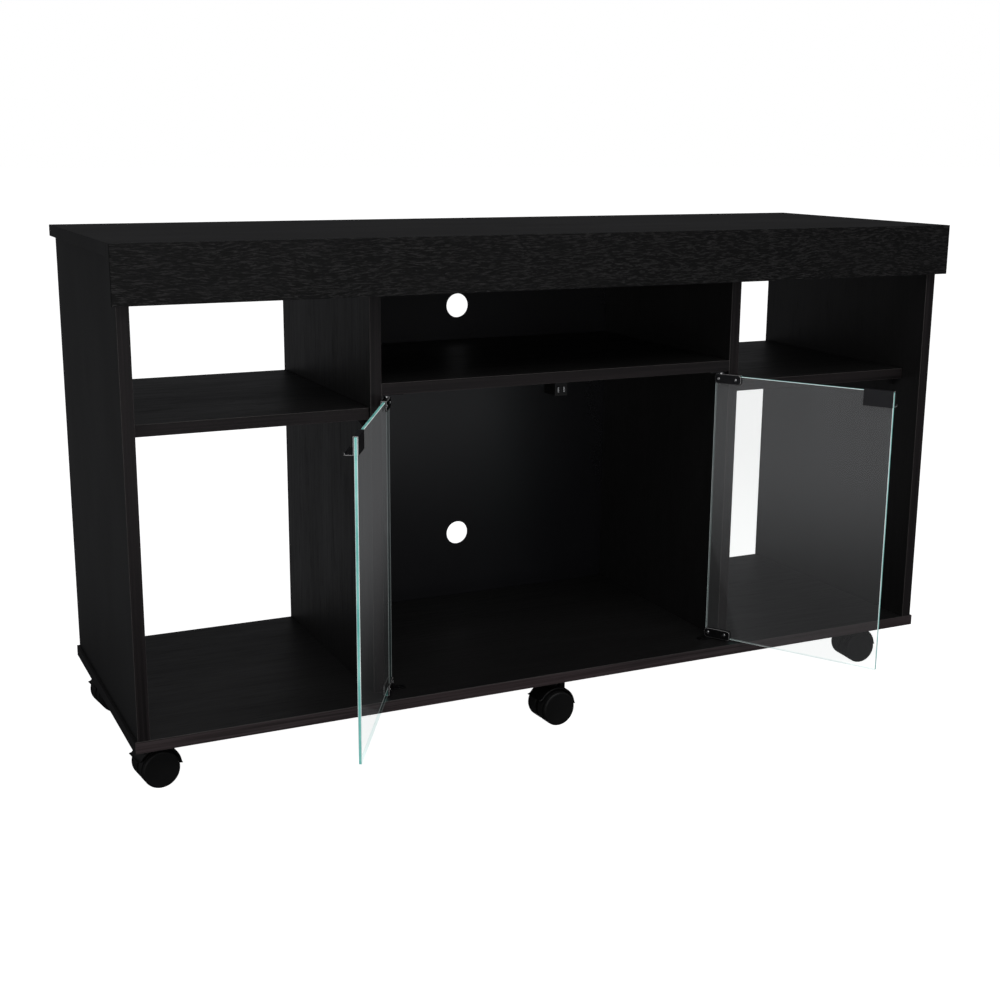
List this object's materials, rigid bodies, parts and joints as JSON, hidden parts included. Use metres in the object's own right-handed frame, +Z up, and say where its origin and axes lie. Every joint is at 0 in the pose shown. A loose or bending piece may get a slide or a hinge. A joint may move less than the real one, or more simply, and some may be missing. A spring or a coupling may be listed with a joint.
{
  "type": "media cabinet",
  "caption": "Low media cabinet in black woodgrain boards with open side bays, a centre niche over a compartment with hinged glass doors, and swivel casters.",
  "frame": {"origin": "floor level, at the middle of the box round the cabinet with its doors open as it rests", "axes": "+X to the cabinet's right-hand end along its length, +Z up, -Y to the front where the doors open"},
  "size_m": [1.2, 0.5712, 0.672],
  "materials": {
    "woodgrain_laminate": "black melamine with a faint embossed grain",
    "smooth_top_laminate": "smooth black melamine",
    "embossed_apron_laminate": "black melamine with a strong embossed straight grain",
    "hardboard": "thin painted hardboard",
    "clear_glass": "clear tempered glass with polished greenish edges",
    "black_steel": "black satin plated steel",
    "bright_steel": "bright plated steel",
    "black_plastic": "black moulded plastic",
    "caster_plastic": "black moulded plastic, satin",
    "wheel_plastic": "dark grey moulded plastic"
  },
  "bodies": {
    "cabinet": {"top_panel": "smooth_top_laminate", "front_apron": "embossed_apron_laminate", "bottom_panel": "woodgrain_laminate", "left_side_panel": "woodgrain_laminate", "right_side_panel": "woodgrain_laminate", "left_partition": "woodgrain_laminate", "right_partition": "woodgrain_laminate", "centre_shelf": "woodgrain_laminate", "left_shelf": "woodgrain_laminate", "right_shelf": "woodgrain_laminate", "back_panel": "hardboard", "left_shelf_pin_front_outer": "black_plastic", "left_shelf_pin_front_inner": "black_plastic", "left_shelf_pin_rear_outer": "black_plastic", "left_shelf_pin_rear_inner": "black_plastic", "right_shelf_pin_front_outer": "black_plastic", "right_shelf_pin_front_inner": "black_plastic", "right_shelf_pin_rear_outer": "black_plastic", "right_shelf_pin_rear_inner": "black_plastic", "left_door_lower_socket": "black_steel", "left_door_upper_socket": "black_steel", "right_door_lower_socket": "black_steel", "right_door_upper_socket": "black_steel", "catch_housing": "black_plastic", "catch_pole_left": "bright_steel", "catch_pole_right": "bright_steel", "front_left_caster_mount": "black_steel", "front_centre_caster_mount": "black_steel", "front_right_caster_mount": "black_steel", "rear_left_caster_mount": "black_steel", "rear_centre_caster_mount": "black_steel", "rear_right_caster_mount": "black_steel"},
    "left_door": {"left_door_glass": "clear_glass", "left_door_lower_clamp": "black_steel", "left_door_upper_clamp": "black_steel", "left_strike_clip": "black_steel"},
    "right_door": {"right_door_glass": "clear_glass", "right_door_lower_clamp": "black_steel", "right_door_upper_clamp": "black_steel", "right_strike_clip": "black_steel"},
    "front_left_swivel": {"front_left_caster_hood": "caster_plastic"},
    "front_left_near_roller": {"front_left_near_wheel": "wheel_plastic"},
    "front_left_far_roller": {"front_left_far_wheel": "wheel_plastic"},
    "front_centre_swivel": {"front_centre_caster_hood": "caster_plastic"},
    "front_centre_near_roller": {"front_centre_near_wheel": "wheel_plastic"},
    "front_centre_far_roller": {"front_centre_far_wheel": "wheel_plastic"},
    "front_right_swivel": {"front_right_caster_hood": "caster_plastic"},
    "front_right_near_roller": {"front_right_near_wheel": "wheel_plastic"},
    "front_right_far_roller": {"front_right_far_wheel": "wheel_plastic"},
    "rear_left_swivel": {"rear_left_caster_hood": "caster_plastic"},
    "rear_left_near_roller": {"rear_left_near_wheel": "wheel_plastic"},
    "rear_left_far_roller": {"rear_left_far_wheel": "wheel_plastic"},
    "rear_centre_swivel": {"rear_centre_caster_hood": "caster_plastic"},
    "rear_centre_near_roller": {"rear_centre_near_wheel": "wheel_plastic"},
    "rear_centre_far_roller": {"rear_centre_far_wheel": "wheel_plastic"},
    "rear_right_swivel": {"rear_right_caster_hood": "caster_plastic"},
    "rear_right_near_roller": {"rear_right_near_wheel": "wheel_plastic"},
    "rear_right_far_roller": {"rear_right_far_wheel": "wheel_plastic"}
  },
  "joints": [
    {"name": "left_door_hinge", "type": "hinge", "parent": "cabinet", "child": "left_door", "pos_m": [-0.2522, -0.06484, 0], "axis": [0, 0, 1], "range_deg": [-3.8, 119.2]},
    {"name": "right_door_hinge", "type": "hinge", "parent": "cabinet", "child": "right_door", "pos_m": [0.2522, -0.06484, 0], "axis": [0, 0, 1], "range_deg": [-120.2, 2.8]},
    {"name": "front_left_swivel_turn", "type": "hinge", "parent": "cabinet", "child": "front_left_swivel", "pos_m": [-0.5455, -0.05194, 0], "axis": [0, 0, 1], "continuous": true},
    {"name": "front_left_near_wheel_spin", "type": "hinge", "parent": "front_left_swivel", "child": "front_left_near_roller", "pos_m": [-0.56189, -0.05381, 0.024], "axis": [-0.1132, 0.9936, 0], "continuous": true},
    {"name": "front_left_far_wheel_spin", "type": "hinge", "parent": "front_left_swivel", "child": "front_left_far_roller", "pos_m": [-0.56189, -0.05381, 0.024], "axis": [-0.1132, 0.9936, 0], "continuous": true},
    {"name": "front_centre_swivel_turn", "type": "hinge", "parent": "cabinet", "child": "front_centre_swivel", "pos_m": [-0.0025, -0.07944, 0], "axis": [0, 0, 1], "continuous": true},
    {"name": "front_centre_near_wheel_spin", "type": "hinge", "parent": "front_centre_swivel", "child": "front_centre_near_roller", "pos_m": [-0.01897, -0.08045, 0.024], "axis": [-0.061, 0.9981, 0], "continuous": true},
    {"name": "front_centre_far_wheel_spin", "type": "hinge", "parent": "front_centre_swivel", "child": "front_centre_far_roller", "pos_m": [-0.01897, -0.08045, 0.024], "axis": [-0.061, 0.9981, 0], "continuous": true},
    {"name": "front_right_swivel_turn", "type": "hinge", "parent": "cabinet", "child": "front_right_swivel", "pos_m": [0.5455, -0.05194, 0], "axis": [0, 0, 1], "continuous": true},
    {"name": "front_right_near_wheel_spin", "type": "hinge", "parent": "front_right_swivel", "child": "front_right_near_roller", "pos_m": [0.52911, -0.05008, 0.024], "axis": [0.1132, 0.9936, 0], "continuous": true},
    {"name": "front_right_far_wheel_spin", "type": "hinge", "parent": "front_right_swivel", "child": "front_right_far_roller", "pos_m": [0.52911, -0.05008, 0.024], "axis": [0.1132, 0.9936, 0], "continuous": true},
    {"name": "rear_left_swivel_turn", "type": "hinge", "parent": "cabinet", "child": "rear_left_swivel", "pos_m": [-0.5455, 0.22256, 0], "axis": [0, 0, 1], "continuous": true},
    {"name": "rear_left_near_wheel_spin", "type": "hinge", "parent": "rear_left_swivel", "child": "rear_left_near_roller", "pos_m": [-0.56184, 0.22026, 0.024], "axis": [-0.1392, 0.9903, 0], "continuous": true},
    {"name": "rear_left_far_wheel_spin", "type": "hinge", "parent": "rear_left_swivel", "child": "rear_left_far_roller", "pos_m": [-0.56184, 0.22026, 0.024], "axis": [-0.1392, 0.9903, 0], "continuous": true},
    {"name": "rear_centre_swivel_turn", "type": "hinge", "parent": "cabinet", "child": "rear_centre_swivel", "pos_m": [-0.0025, 0.22256, 0], "axis": [0, 0, 1], "continuous": true},
    {"name": "rear_centre_near_wheel_spin", "type": "hinge", "parent": "rear_centre_swivel", "child": "rear_centre_near_roller", "pos_m": [-0.01851, 0.21857, 0.024], "axis": [-0.2419, 0.9703, 0], "continuous": true},
    {"name": "rear_centre_far_wheel_spin", "type": "hinge", "parent": "rear_centre_swivel", "child": "rear_centre_far_roller", "pos_m": [-0.01851, 0.21857, 0.024], "axis": [-0.2419, 0.9703, 0], "continuous": true},
    {"name": "rear_right_swivel_turn", "type": "hinge", "parent": "cabinet", "child": "rear_right_swivel", "pos_m": [0.5455, 0.22256, 0], "axis": [0, 0, 1], "continuous": true},
    {"name": "rear_right_near_wheel_spin", "type": "hinge", "parent": "rear_right_swivel", "child": "rear_right_near_roller", "pos_m": [0.5292, 0.22514, 0.024], "axis": [0.1564, 0.9877, 0], "continuous": true},
    {"name": "rear_right_far_wheel_spin", "type": "hinge", "parent": "rear_right_swivel", "child": "rear_right_far_roller", "pos_m": [0.5292, 0.22514, 0.024], "axis": [0.1564, 0.9877, 0], "continuous": true}
  ]
}
